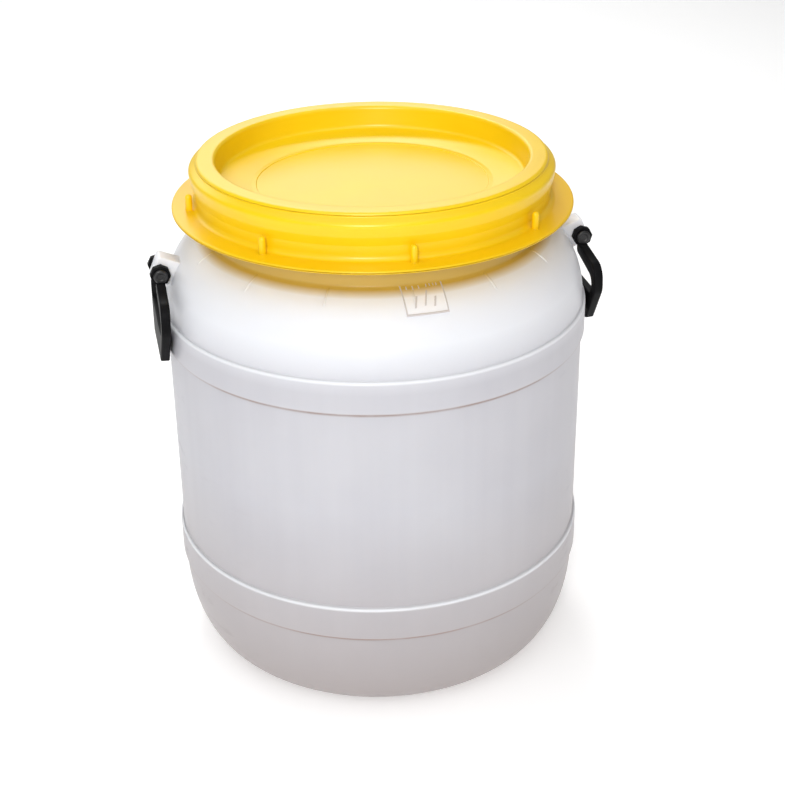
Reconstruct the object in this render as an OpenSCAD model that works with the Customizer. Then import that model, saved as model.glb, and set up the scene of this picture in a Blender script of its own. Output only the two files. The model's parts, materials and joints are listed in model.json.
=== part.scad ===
// Open head plastic drum, 50 litre class, with a screw lid and two swing handles.
// Millimetres, +Z up. The origin is on the floor, on the drum's own axis.
// The handle lugs stand on the X axis, so both handle pins lie along Y.

/* [Body] */
// Radius of the plain wall
wall_r = 192; // [170:1:215]
// Thickness of the moulded wall
wall_t = 3; // [2:0.1:4]
// Width of the rounded corner between the base and the wall
base_corner_w = 41; // [30:1:60]
// Height of the rounded corner between the base and the wall
base_corner_h = 86; // [60:1:90]
// Width of the ring that stands on the floor
foot_w = 20; // [12:1:30]
// Depth of the pushed-up middle of the base
push_up = 9; // [4:1:15]
// Height of the lower edge of the lower band
lower_band_z = 92; // [91:1:130]
// Height of the lower band
lower_band_h = 31.7; // [20:0.1:45]
// Height of the lower edge of the upper band
upper_band_z = 318; // [230:1:360]
// Height of the upper band
upper_band_h = 29.5; // [20:0.1:45]
// How far the bands stand proud of the wall
band_out = 2.7; // [1.5:0.1:4]
// Height of the rounded shoulder
shoulder_h = 69; // [60:1:85]
// Width of the rounded shoulder
shoulder_w = 60; // [50:1:70]

/* [Neck] */
// How far the neck stands in from the plain wall
neck_inset = 40.8; // [38:0.1:46]
// Thickness of the neck
neck_t = 4.2; // [3:0.1:6]
// Height of the neck above the top of the shoulder
neck_h = 56; // [48:1:70]

/* [Thread] */
// Height that the lid climbs in one turn
thread_lead = 18; // [14:1:24]
// Number of thread ridges side by side
thread_starts = 2; // [2:1:3]
// How far a ridge stands out of the neck
neck_ridge_out = 3; // [2:0.1:3.2]
// Height of a neck ridge at its foot
neck_ridge_h = 4.4; // [3:0.1:5]
// Height of a lid ridge at its foot
lid_ridge_h = 4; // [3:0.1:4.5]
// Angle that each ridge runs round
ridge_turn = 200; // [120:5:240]
// Gap between the crest of one thread and the foot of the other
crest_gap = 0.7; // [0.5:0.1:1]
// Gap between the flanks that carry the closed lid
flank_gap = 0.4; // [0.3:0.05:0.8]

/* [Lid] */
// Thickness of the lid
lid_t = 3.2; // [2.5:0.1:4]
// Gap between the neck ridges and the skirt
skirt_gap = 1; // [0.6:0.1:2]
// How far the lid's bead stands out past the foot of the skirt
bead_out = 5; // [2:0.1:6]
// Height of the lid's bead
bead_h = 14; // [12:0.5:15]
// How far the flange stands out past the foot of the skirt
flange_out = 21.5; // [15:0.5:24]
// Thickness of the flange
flange_t = 3; // [2.5:0.1:5]
// How far the lid reaches down over the neck
lid_grip_h = 36; // [32:0.5:40]
// Width of the raised rim
rim_w = 17; // [14:0.5:20]
// Depth of the rim's inner wall
rim_depth = 20.4; // [14:0.1:26]
// Width of the dished floor round the flat disc
dish_w = 32.8; // [22:0.1:50]
// How far the dished floor falls towards the disc
dish_fall = 5.7; // [2:0.1:8]
// Depth of the disc below the dished floor
disc_step = 0.8; // [0.4:0.1:1.5]
// Number of grip pins on the flange
pin_count = 8; // [6:1:12]
// Width of a grip pin
pin_w = 6.4; // [4:0.1:9]
// Height of a grip pin
pin_h = 15.5; // [10:0.5:18]
// Distance from the foot of the skirt out to the axis of a grip pin
pin_off = 6.4; // [4:0.1:12]

/* [Gasket] */
// Thickness of the gasket ring
gasket_t = 4; // [3:0.1:6]
// Gap round the gasket ring
gasket_gap = 0.35; // [0.3:0.05:0.6]

/* [Lugs and handles] */
// How far the hinge pin stands out from the plain wall
pivot_out = 3.6; // [3.4:0.1:6]
// Height of the hinge pin above the top of the upper band
pivot_up = 39.5; // [36:0.5:42]
// Radius of the hinge pin
pivot_r = 4; // [3:0.1:5]
// Running clearance round the hinge pin
pivot_gap = 0.05; // [0.02:0.01:0.09]
// Width of a lug
lug_w = 18; // [14:0.5:24]
// Lean of the lugs out of the upright
lug_lean = 23; // [15:1:30]
// Height of a lug above the hinge pin
lug_above = 14.6; // [10:0.1:18]
// Depth of a lug below the hinge pin
lug_below = 9; // [8:0.1:12]
// Reach of a lug past the hinge pin
lug_reach = 6.3; // [5.5:0.1:8]
// Gap between a lug and the eyes on each side of it
eye_gap = 0.4; // [0.3:0.05:1]
// Width of a handle eye along the hinge pin
eye_w = 7; // [5:0.5:10]
// Half the height of a handle eye across its flats
eye_flat = 8.6; // [8:0.1:9]
// Thickness of a handle
handle_t = 8.2; // [6:0.1:9]
// Half the width of a handle at its widest
handle_half_w = 61.5; // [55:0.5:75]
// Depth of a handle's shoulders below the hinge pin
handle_shoulder = 13; // [11:0.5:15]
// Depth below the hinge pin at which the sides start to draw in
handle_belly = 36; // [34:0.5:43]
// Half the width of a handle at its foot
handle_foot_w = 35; // [28:0.5:42]
// Depth of a handle below the hinge pin
handle_drop = 74.5; // [71:0.5:90]
// Height of the grip bar at the foot of a handle
grip_h = 30; // [24:0.5:31]
// Height of the arms beside the eyes
arm_h = 9.5; // [7:0.5:12]
// Width of the handle's side arms
arm_w = 7.5; // [6:0.5:10]
// Gap between a pin head and the arm below it
arm_gap = 0.5; // [0.3:0.1:1]
// Lean of a hanging handle out of the upright
handle_lean = 2.5; // [2:0.1:6]
// Gap between the back of the grip and the upper band
grip_gap = 0.6; // [0.5:0.1:2]
// Radius of a pin head
head_r = 6.4; // [5:0.1:7]
// Thickness of a pin head
head_t = 2.4; // [1.5:0.1:4]

/* [Hidden] */

$fn = 96;
curve_steps = 36;
corner_power = 2.06;
shoulder_power = 2.1;
small_round = 0.8;
wall_round = 0.6;
band_round = 2.4;
lip_round = 1.2;
seat_gap = 0.05;
channel_air = 0.5;

band_r = wall_r + band_out;
upper_band_top = upper_band_z + upper_band_h;
shoulder_top = upper_band_top + shoulder_h;
neck_top = shoulder_top + neck_h;
neck_r = wall_r - neck_inset;
neck_in_r = neck_r - neck_t;

// The lid sits over the neck, and its sizes follow from it
lid_bottom = neck_top - lid_grip_h;
gasket_z = neck_top + seat_gap;
rim_under_z = gasket_z + gasket_t + seat_gap;
lid_top = rim_under_z + lid_t + channel_air;
skirt_in_r = neck_r + neck_ridge_out + skirt_gap;
skirt_r = skirt_in_r + lid_t;
flange_r = skirt_r + flange_out;
flange_top = lid_bottom + flange_t;
channel_step = 2;
rim_channel_r = skirt_in_r - channel_step;
rim_r = rim_channel_r + lid_t;
rim_in_r = rim_r - rim_w;
rim_draft = 2.6;
rim_foot_r = rim_in_r - rim_draft;
disc_r = rim_foot_r - dish_w;
floor_z = lid_top - rim_depth;
bead_slope_h = 4.4;
bead_top = rim_under_z - bead_slope_h;
bead_bottom = bead_top - bead_h;
bead_under_h = 3;
bead_r = skirt_r + bead_out;
skirt_draft = 0.6;
bead_draft = 1.2;
dish_z = floor_z - dish_fall;
disc_z = dish_z - disc_step;
under_z = disc_z - lid_t;

// Each lug carries a pin along Y at this place
pivot_x = wall_r + pivot_out;
pivot_z = upper_band_top + pivot_up;
eye_in = lug_w/2 + eye_gap;
eye_out = eye_in + eye_w;
head_gap = 0.35;
press_depth = 0.6*head_t;
lug_root = 20;
over = 1;

// Generic moulder's panel and rib marks on the shoulder
panel_angle = -87;
panel_w = 37;
panel_r_in = neck_r - 2;
panel_r_out = wall_r - 16;
panel_out = 0.5;
rib_count = 14;
rib_w = 2.4;
rib_out = 0.8;
rib_r_out = wall_r - 21;

// ---------- outlines ----------

// Quarter of a superellipse about [cx, cz], from the side (t = 0) to the top or bottom (t = 1)
function quarter(cx, cz, a, b, power, up, steps = curve_steps) =
    [for (i = [0:steps]) let (t = 90*i/steps)
        [cx + a*pow(cos(t), 2/power), cz + up*b*pow(sin(t), 2/power)]];

function reversed(list) = [for (i = [len(list) - 1:-1:0]) list[i]];

function unit(v) = v/norm(v);

// Arc of radius r that rounds the corner q between the neighbours p and s
function corner_arc(p, q, s, r, steps) =
    let (u = unit(p - q),
         w = unit(s - q),
         half = acos(u*w)/2,
         centre = q + unit(u + w)*(r/sin(half)),
         first = q + u*(r/tan(half)) - centre,
         last = q + w*(r/tan(half)) - centre,
         from = atan2(first.y, first.x),
         turn = (atan2(last.y, last.x) - from + 540) % 360 - 180)
    [for (i = [0:steps]) centre + r*[cos(from + turn*i/steps), sin(from + turn*i/steps)]];

// Closed outline through [x, y, radius] corners, each rounded by its own radius
function rounded(corners, steps = 6) =
    [for (i = [0:len(corners) - 1])
        let (n = len(corners),
             a = corners[(i + n - 1) % n],
             b = corners[i],
             c = corners[(i + 1) % n])
        each (b[2] == 0 ? [[b[0], b[1]]]
            : corner_arc([a[0], a[1]], [b[0], b[1]], [c[0], c[1]], b[2], steps))];

// ---------- drum body ----------

// A raised band round the wall: sharp step below, rounded edge above
function band(z, h, out) =
    [[wall_r + out, z],
     [wall_r + out + band_out - small_round, z],
     [wall_r + out + band_out, z + small_round],
     each [for (i = [0:6]) let (t = 15*i)
        [wall_r + out + band_out - band_round*(1 - cos(t)),
         z + h - band_round + band_round*sin(t)]],
     [wall_r + out, z + h]];

// Outside of the shell from the foot ring to the shoulder's top, moved out by a given amount
function shell_side(out) =
    [each reversed(quarter(wall_r - base_corner_w, base_corner_h,
                           base_corner_w + out, base_corner_h + out, corner_power, -1)),
     each band(lower_band_z, lower_band_h, out),
     each band(upper_band_z, upper_band_h, out),
     each quarter(wall_r - shoulder_w, upper_band_top,
                  shoulder_w + out, shoulder_h + out, shoulder_power, 1)];

// The foot ring and the pushed-up base
foot_in_r = wall_r - base_corner_w - foot_w;

module shell_outside(out = 0) {
    rotate_extrude($fn = 180)
        polygon([[0, -out], each shell_side(out), [0, shoulder_top + out]]);
}

// The neck, from inside the shoulder up to its rounded lip
module neck_outside() {
    rotate_extrude($fn = 180)
        polygon(rounded([[0, upper_band_top, 0], [neck_r, upper_band_top, 0],
                         [neck_r, neck_top, lip_round], [0, neck_top, 0]]));
}

// Room inside the shell, open through the neck
module shell_inside() {
    difference() {
        rotate_extrude($fn = 180)
            polygon([[0, 0], each shell_side(-wall_t), [0, shoulder_top - wall_t]]);
        base_push_up(wall_t);
    }
    translate([0, 0, shoulder_top - shoulder_h/2])
        cylinder(h = neck_h + shoulder_h, r = neck_in_r, $fn = 180);
}

// The pushed-up disc of the base, moved out by a given amount
module base_push_up(out = 0) {
    translate([0, 0, -over])
        cylinder(h = over + push_up + out, r1 = foot_in_r + out, r2 = foot_in_r - push_up + out, $fn = 180);
}

// A thread ridge that climbs round the axis from angle a0, with its foot at radius r_foot.
// A negative out turns the ridge inwards. Both ends taper into the wall.
module thread_ridge(r_foot, out, foot_h, crest_h, z0, a0, turn) {
    step = 5;
    sunk = 0.6;
    taper = 4;
    sides = 4;
    rings = floor(turn/step);
    r_root = r_foot - sign(out)*sunk;
    root_h = foot_h + (foot_h - crest_h)*sunk/abs(out);
    function section(i) =
        let (grow = min(1, (i + 0.5)/taper, (rings - i + 0.5)/taper),
             a = a0 + step*i,
             z = z0 + thread_lead*step*i/360,
             r_tip = r_foot + out*grow)
        [for (p = [[r_root, -root_h/2], [r_tip, -crest_h/2], [r_tip, crest_h/2], [r_root, root_h/2]])
            [p[0]*cos(a), p[0]*sin(a), z + p[1]]];
    points = [for (i = [0:rings]) each section(i)];
    first = [for (k = [0:sides - 1]) k];
    last = [for (k = [sides - 1:-1:0]) rings*sides + k];
    walls = [for (i = [0:rings - 1]) for (k = [0:sides - 1])
        let (n = (k + 1) % sides)
        each [[i*sides + k, (i + 1)*sides + k, (i + 1)*sides + n],
              [i*sides + k, (i + 1)*sides + n, i*sides + n]]];
    faces = out < 0 ? [first, last, each walls]
        : [reversed(first), reversed(last), each [for (f = walls) reversed(f)]];
    polyhedron(points = points, faces = faces, convexity = 6);
}

ridge_up = 14;
neck_ridge_z = lid_bottom + ridge_up;
ridge_crest_share = 0.55;

module neck_thread() {
    for (k = [0:thread_starts - 1])
        thread_ridge(neck_r, neck_ridge_out, neck_ridge_h, neck_ridge_h*ridge_crest_share,
                     neck_ridge_z, 360*k/thread_starts, ridge_turn);
}

// A lug's outline in its own upright plane, leaning out of the shoulder
module lug_outline() {
    polygon(rounded([[-lug_root, -lug_below, 0], [lug_reach, -lug_below, 2.5],
                     [lug_reach, lug_above, 1.6], [-lug_root, lug_above, 0]]));
}

module lug(side) {
    translate([side*pivot_x, 0, pivot_z])
        rotate([90, 0, side > 0 ? 0 : 180])
            rotate([0, 0, lug_lean])
                translate([0, 0, -lug_w/2])
                    linear_extrude(lug_w)
                        lug_outline();
}

module pivot_bore(side, r, length) {
    translate([side*pivot_x, 0, pivot_z])
        rotate([90, 0, 0])
            cylinder(h = length, r = r, center = true, $fn = 64);
}

module shoulder_marks() {
    intersection() {
        shell_outside(panel_out);
        rotate([0, 0, panel_angle])
            translate([panel_r_in, -panel_w/2, upper_band_top])
                cube([panel_r_out - panel_r_in, panel_w, shoulder_h + over]);
    }
    intersection() {
        shell_outside(rib_out);
        for (k = [0:rib_count - 1])
            rotate([0, 0, 360*(k + 0.5)/rib_count])
                translate([neck_r - over, -rib_w/2, upper_band_top])
                    cube([rib_r_out - neck_r + over, rib_w, shoulder_h + over]);
    }
}

module drum_body() {
    color("white")
        difference() {
            union() {
                shell_outside();
                neck_outside();
                neck_thread();
                shoulder_marks();
                lug(-1);
                lug(1);
            }
            shell_inside();
            base_push_up();
            pivot_bore(-1, pivot_r, lug_w + 2*over);
            pivot_bore(1, pivot_r, lug_w + 2*over);
        }
}

// ---------- screw lid ----------

module lid_shape() {
    rotate_extrude($fn = 180)
        polygon(rounded([
            [skirt_in_r, lid_bottom, 0],
            [flange_r, lid_bottom, 1],
            [flange_r, flange_top, 1.4],
            [skirt_r, flange_top + skirt_draft, 2.5],
            [skirt_r + skirt_draft, bead_bottom - bead_under_h, 3],
            [bead_r - bead_draft, bead_bottom + bead_draft, 3.5],
            [bead_r, bead_top, 4.5],
            [rim_r, bead_top + bead_slope_h, 1],
            [rim_r, lid_top, 2.4],
            [rim_in_r, lid_top, 3.2],
            [rim_foot_r, floor_z, 3.5],
            [disc_r + 4, dish_z, 6],
            [disc_r, dish_z, 0],
            [disc_r - disc_step/2, disc_z, 0],
            [0, disc_z, 0],
            [0, under_z, 0],
            [disc_r + 3, under_z, 6],
            [rim_foot_r + lid_t, floor_z - lid_t, 3],
            [rim_in_r + lid_t, rim_under_z, 1],
            [rim_channel_r, rim_under_z, wall_round],
            [rim_channel_r, neck_top - channel_step/2, wall_round],
            [skirt_in_r, neck_top - channel_step, wall_round]], 5));
}

module lid_thread() {
    crest = skirt_in_r - neck_r - crest_gap;
    neck_half = neck_ridge_h/2;
    lid_half = lid_ridge_h/2;
    drop = neck_half + lid_half*ridge_crest_share + flank_gap;
    for (k = [0:thread_starts - 1])
        thread_ridge(skirt_in_r, -crest, lid_ridge_h, lid_ridge_h*ridge_crest_share,
                     neck_ridge_z - drop - thread_lead*ridge_turn/720,
                     360*k/thread_starts - ridge_turn/2, ridge_turn);
}

// A grip pin: a round post on the flange, just clear of the skirt's foot, with a domed top
module grip_pin() {
    sunk = 1;
    stem = pin_h + sunk - pin_w/2;
    translate([skirt_r + pin_off, 0, flange_top - sunk]) {
        cylinder(h = stem, r = pin_w/2, $fn = 32);
        translate([0, 0, stem])
            sphere(r = pin_w/2, $fn = 32);
    }
}

module screw_lid() {
    color("gold") {
        lid_shape();
        lid_thread();
        for (k = [0:pin_count - 1])
            rotate([0, 0, 360*k/pin_count])
                grip_pin();
    }
}

// ---------- lid gasket ----------

module lid_gasket() {
    gasket_r = rim_channel_r - gasket_gap;
    gasket_in_r = rim_in_r + lid_t + gasket_gap + wall_round;
    color("lightgray")
        translate([0, 0, gasket_z])
            rotate_extrude($fn = 180)
                polygon(rounded([[gasket_in_r, 0, 1], [gasket_r, 0, 0.5],
                                 [gasket_r, gasket_t, 0.5], [gasket_in_r, gasket_t, 1]], 4));
}

// ---------- handles ----------

// Handle outline in its own plane: x along the hinge pin, y downwards
arm_top = head_r + arm_gap;
eye_root = 3;
shoulder_fall = 14;
grip_corner = 11;

function mirrored(list) = [for (p = reversed(list)) [-p[0], p[1], p[2]]];

module handle_outline() {
    outside = [[eye_in, -eye_root, 0],
               [eye_out, -eye_root, 0],
               [eye_out, arm_top, 0],
               [handle_half_w, handle_shoulder, 14],
               [handle_half_w, handle_belly, 20],
               [handle_foot_w, handle_drop, 4]];
    inside = [[handle_foot_w + grip_corner, handle_drop - grip_h, 7],
              [handle_half_w - arm_w, handle_shoulder + shoulder_fall, 8],
              [eye_in, arm_top + arm_h, 4]];
    polygon(rounded(concat(outside, mirrored(outside), mirrored(inside), inside)));
}

module handle_at_origin() {
    eye_turn = lug_lean + handle_lean;
    difference() {
        union() {
            rotate([90, 0, 90])
                translate([0, 0, -handle_t/2])
                    linear_extrude(handle_t)
                        mirror([0, 1])
                            handle_outline();
            for (s = [-1, 1])
                translate([0, s*(eye_in + eye_w/2), 0])
                    rotate([90, 0, 0])
                        rotate([0, 0, eye_turn + 22.5])
                            cylinder(h = eye_w, r = eye_flat/cos(22.5), center = true, $fn = 8);
        }
        rotate([90, 0, 0])
            cylinder(h = 3*eye_out, r = pivot_r + pivot_gap, center = true, $fn = 64);
    }
}

// Puts a handle on its pin, hanging, on the side that is asked for
module hung(side) {
    translate([side*pivot_x, 0, pivot_z])
        rotate([0, 0, side > 0 ? 0 : 180])
            rotate([0, -handle_lean, 0])
                handle_at_origin();
}

// Each grip's back is hollowed round the upper band, which it hangs against
module handle(side) {
    difference() {
        hung(side);
        cylinder(h = upper_band_top + over, r = band_r + grip_gap, $fn = 180);
    }
}

module handle_left() {
    color("black")
        handle(-1);
}

module handle_right() {
    color("black")
        handle(1);
}

// ---------- hinge pins ----------

module pin_head() {
    rotate_extrude($fn = 64)
        polygon(rounded([[0, 0, 0], [head_r, 0, 0.4], [head_r, head_t, 1.4], [0, head_t, 0]], 5));
}

module pivot_pin(side) {
    reach = eye_out + head_gap;
    translate([side*pivot_x, 0, pivot_z])
        rotate([90, 0, 0]) {
            translate([0, 0, -reach - press_depth])
                cylinder(h = 2*reach + press_depth, r = pivot_r, $fn = 64);
            translate([0, 0, reach])
                pin_head();
        }
}

module pin_cap(side) {
    reach = eye_out + head_gap;
    translate([side*pivot_x, 0, pivot_z])
        rotate([-90, 0, 0])
            translate([0, 0, reach])
                difference() {
                    pin_head();
                    translate([0, 0, -over])
                        cylinder(h = over + press_depth, r = pivot_r, $fn = 64);
                }
}

module pivot_pin_left() {
    color("black")
        pivot_pin(-1);
}

module pivot_pin_right() {
    color("black")
        pivot_pin(1);
}

module pin_cap_left() {
    color("black")
        pin_cap(-1);
}

module pin_cap_right() {
    color("black")
        pin_cap(1);
}

drum_body();
screw_lid();
lid_gasket();
handle_left();
handle_right();
pivot_pin_left();
pivot_pin_right();
pin_cap_left();
pin_cap_right();
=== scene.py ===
import json
import math
import bmesh
import bpy
from mathutils import Matrix, Vector

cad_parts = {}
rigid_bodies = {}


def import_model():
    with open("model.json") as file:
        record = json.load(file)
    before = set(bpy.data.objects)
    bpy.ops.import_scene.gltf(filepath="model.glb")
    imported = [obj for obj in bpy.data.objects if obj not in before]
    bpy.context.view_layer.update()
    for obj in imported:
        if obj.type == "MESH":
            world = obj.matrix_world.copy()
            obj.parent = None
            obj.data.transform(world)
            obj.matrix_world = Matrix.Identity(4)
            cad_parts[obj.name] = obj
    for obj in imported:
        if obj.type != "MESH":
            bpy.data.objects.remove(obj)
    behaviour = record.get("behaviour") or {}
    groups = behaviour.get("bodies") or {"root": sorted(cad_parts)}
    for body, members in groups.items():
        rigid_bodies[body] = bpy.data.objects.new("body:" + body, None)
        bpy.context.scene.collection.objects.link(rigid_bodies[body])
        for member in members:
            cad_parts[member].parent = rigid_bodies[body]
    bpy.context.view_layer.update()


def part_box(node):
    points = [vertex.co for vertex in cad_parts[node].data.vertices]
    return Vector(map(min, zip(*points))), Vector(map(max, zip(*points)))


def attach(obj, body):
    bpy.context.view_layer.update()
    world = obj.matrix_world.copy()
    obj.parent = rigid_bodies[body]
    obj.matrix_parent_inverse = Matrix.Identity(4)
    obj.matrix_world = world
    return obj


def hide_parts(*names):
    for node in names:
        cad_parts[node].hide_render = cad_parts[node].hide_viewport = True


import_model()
MM = 0.001

# ---------------------------------------------------------------------------
# Camera: a long lens a little above the drum, looking down at it past the lid.
# The handle lugs stand a few degrees round from square to the view.
# ---------------------------------------------------------------------------
camera_turn = math.radians(-11.4)
camera_back = 1314.4 * MM
camera_height = 910.3 * MM
camera_pitch = 0.479228
camera_yaw = 0.01166
camera_roll = -0.01346
camera_lens = 68.5


def camera_matrix():
    """Camera to world: pitched down, a touch of yaw and roll, then turned round the drum."""
    pitch = Matrix.Rotation(math.radians(90) - camera_pitch, 4, "X")
    yaw = Matrix.Rotation(-camera_yaw, 4, "Z")
    roll = Matrix.Rotation(camera_roll, 4, "Z")
    place = Matrix.Translation((0.0, -camera_back, camera_height))
    return Matrix.Rotation(camera_turn, 4, "Z") @ place @ yaw @ pitch @ roll


camera_data = bpy.data.cameras.new("camera")
camera_data.lens = camera_lens
camera_data.sensor_width = 36.0
camera_data.clip_start = 0.05
camera_data.clip_end = 50.0
camera = bpy.data.objects.new("camera", camera_data)
bpy.context.scene.collection.objects.link(camera)
camera.matrix_world = camera_matrix()
bpy.context.scene.camera = camera

# ---------------------------------------------------------------------------
# Drum body: one blow-moulded shell of white polyethylene. Wall, bands, rounded
# shoulder, threaded neck and pushed-up base are one moulding with the two lugs.
# ---------------------------------------------------------------------------
wall_r = 192 * MM
wall_t = 3 * MM
corner_w = 41 * MM
corner_h = 86 * MM
foot_w = 20 * MM
push_up = 9 * MM
band_out = 2.7 * MM
lower_band = (92 * MM, 31.7 * MM)
upper_band = (318 * MM, 29.5 * MM)
shoulder_w = 60 * MM
shoulder_h = 69 * MM
neck_r = 151.2 * MM
neck_t = 4.2 * MM
neck_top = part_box("drum_body")[1].z
upper_band_top = sum(upper_band)
shoulder_top = upper_band_top + shoulder_h


def rounded(corners, steps=5, guard=0.0012):
    """Outline through (x, z, radius) corners. Each corner is an arc with a guard point on both sides."""
    points = []
    for i, (x, z, r) in enumerate(corners):
        here = Vector((x, z))
        if r == 0:
            points.append(here)
            continue
        before = Vector(corners[i - 1][:2]) - here
        after = Vector(corners[(i + 1) % len(corners)][:2]) - here
        u, w = before.normalized(), after.normalized()
        half = u.angle(w) / 2
        reach = r / math.tan(half)
        centre = here + (u + w).normalized() * (r / math.sin(half))
        first, last = here + u * reach - centre, here + w * reach - centre
        turn = first.angle_signed(last)
        if before.length > reach + 2 * guard:
            points.append(here + u * (reach + guard))
        for k in range(steps + 1):
            a = -turn * k / steps
            points.append(centre + Vector((first.x * math.cos(a) - first.y * math.sin(a),
                                           first.x * math.sin(a) + first.y * math.cos(a))))
        if after.length > reach + 2 * guard:
            points.append(here + w * (reach + guard))
    return points


def quarter(cx, cz, a, b, power, up, steps):
    """Quarter of a superellipse, from its side to its top (up = 1) or its bottom (up = -1)."""
    angles = [math.pi / 2 * i / steps for i in range(steps + 1)]
    return [Vector((cx + a * math.cos(t) ** (2 / power) if i < steps else cx,
                    cz + up * b * math.sin(t) ** (2 / power))) for i, t in enumerate(angles)]


def resampled(points, step):
    """The same open outline with extra points, so that no stretch is longer than step."""
    out = [points[0]]
    for p, q in zip(points, points[1:]):
        n = max(1, math.ceil((q - p).length / step))
        out += [p.lerp(q, k / n) for k in range(1, n + 1)]
    return out


def side_outline(out):
    """The shell's side from the foot to the top of the shoulder, moved out by an amount."""
    def band(z, h):
        corners = [(wall_r + out, z - 6 * MM, 0), (wall_r + out, z, 0.15 * MM),
                   (wall_r + out + band_out, z, 0.3 * MM), (wall_r + out + band_out, z + h, 2.4 * MM),
                   (wall_r + out, z + h, 0.25 * MM), (wall_r + out, z + h + 5 * MM, 0)]
        return rounded(corners, 4, 0.5 * MM)[1:-1]
    lower = quarter(wall_r - corner_w, corner_h, corner_w + out, corner_h + out, 2.06, -1, 30)
    upper = quarter(wall_r - shoulder_w, upper_band_top, shoulder_w + out, shoulder_h + out, 2.1, 1, 30)
    upper = [p for p in upper if p.y > upper_band_top + 3 * MM]
    return lower[::-1] + band(*lower_band) + band(*upper_band) + upper


def body_outline():
    foot_in = wall_r - corner_w - foot_w
    outside = [Vector((0, push_up)), Vector((foot_in - push_up - 8 * MM, push_up))]
    outside += rounded([(0, push_up, 0), (foot_in - push_up, push_up, 5 * MM), (foot_in, 0, 2.5 * MM),
                        (wall_r - corner_w, 0, 0)], 4)[1:-1]
    side = [p for p in side_outline(0) if p.y < shoulder_top - 4 * MM or p.x > neck_r + 4 * MM]
    side = [p for p in side if not (p.y > upper_band_top and p.x < neck_r + 3 * MM)]
    neck = rounded([(side[-1].x, side[-1].y, 0), (neck_r, side[-1].y + 2.2 * MM, 2.2 * MM),
                    (neck_r, neck_top, 1.2 * MM), (neck_r - neck_t, neck_top, 1.2 * MM),
                    (neck_r - neck_t, shoulder_top - 4 * MM, 3 * MM),
                    (neck_r + 6 * MM, shoulder_top - 6.5 * MM, 0)], 5)[1:-1]
    inside = [p for p in side_outline(-wall_t) if p.x > neck_r + 6 * MM or p.y < upper_band_top]
    floor = [Vector((foot_in + 3 * MM, wall_t)), Vector((foot_in - push_up, push_up + wall_t)),
             Vector((0, push_up + wall_t))]
    return resampled(outside + side + neck + inside[::-1] + floor, 9 * MM)


def outline_object(name, points):
    """A row of vertices and edges in the XZ plane, which the spin tree turns about Z."""
    mesh = bpy.data.meshes.new(name)
    edges = [(i, i + 1) for i in range(len(points) - 1)]
    mesh.from_pydata([(p.x, 0.0, p.y) for p in points], edges, [])
    made = bpy.data.objects.new(name, mesh)
    bpy.context.scene.collection.objects.link(made)
    return made


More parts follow.
